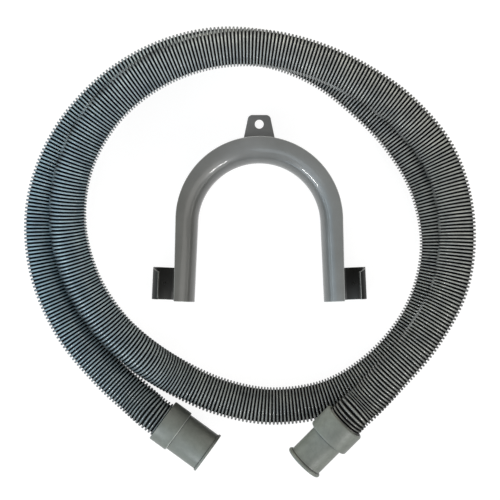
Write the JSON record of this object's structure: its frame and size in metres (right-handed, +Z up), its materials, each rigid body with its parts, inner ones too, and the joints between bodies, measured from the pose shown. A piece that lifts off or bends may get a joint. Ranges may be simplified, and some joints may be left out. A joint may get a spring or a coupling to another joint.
{
  "type": "washing machine drain hose",
  "caption": "Corrugated drain hose laid in a loose loop, with a moulded cuff on each end and the half-pipe crook that holds it over a sink or standpipe.",
  "frame": {"origin": "middle of the footprint, on the surface that the hose lies on", "axes": "+Z up from that surface; +Y from the two end cuffs across the loop, the way the crook's ear points; +X to the side of the small end cuff"},
  "size_m": [0.2966, 0.2961, 0.0503],
  "materials": {
    "hose_plastic": "satin grey plastic with fine rings",
    "cuff_rubber": "smooth satin grey rubber",
    "crook_plastic": "smooth moulded grey plastic, soft gloss"
  },
  "bodies": {
    "root": {"corrugated_hose": "hose_plastic", "large_end_cuff": "cuff_rubber", "small_end_cuff": "cuff_rubber", "hose_crook": "crook_plastic"}
  },
  "joints": []
}
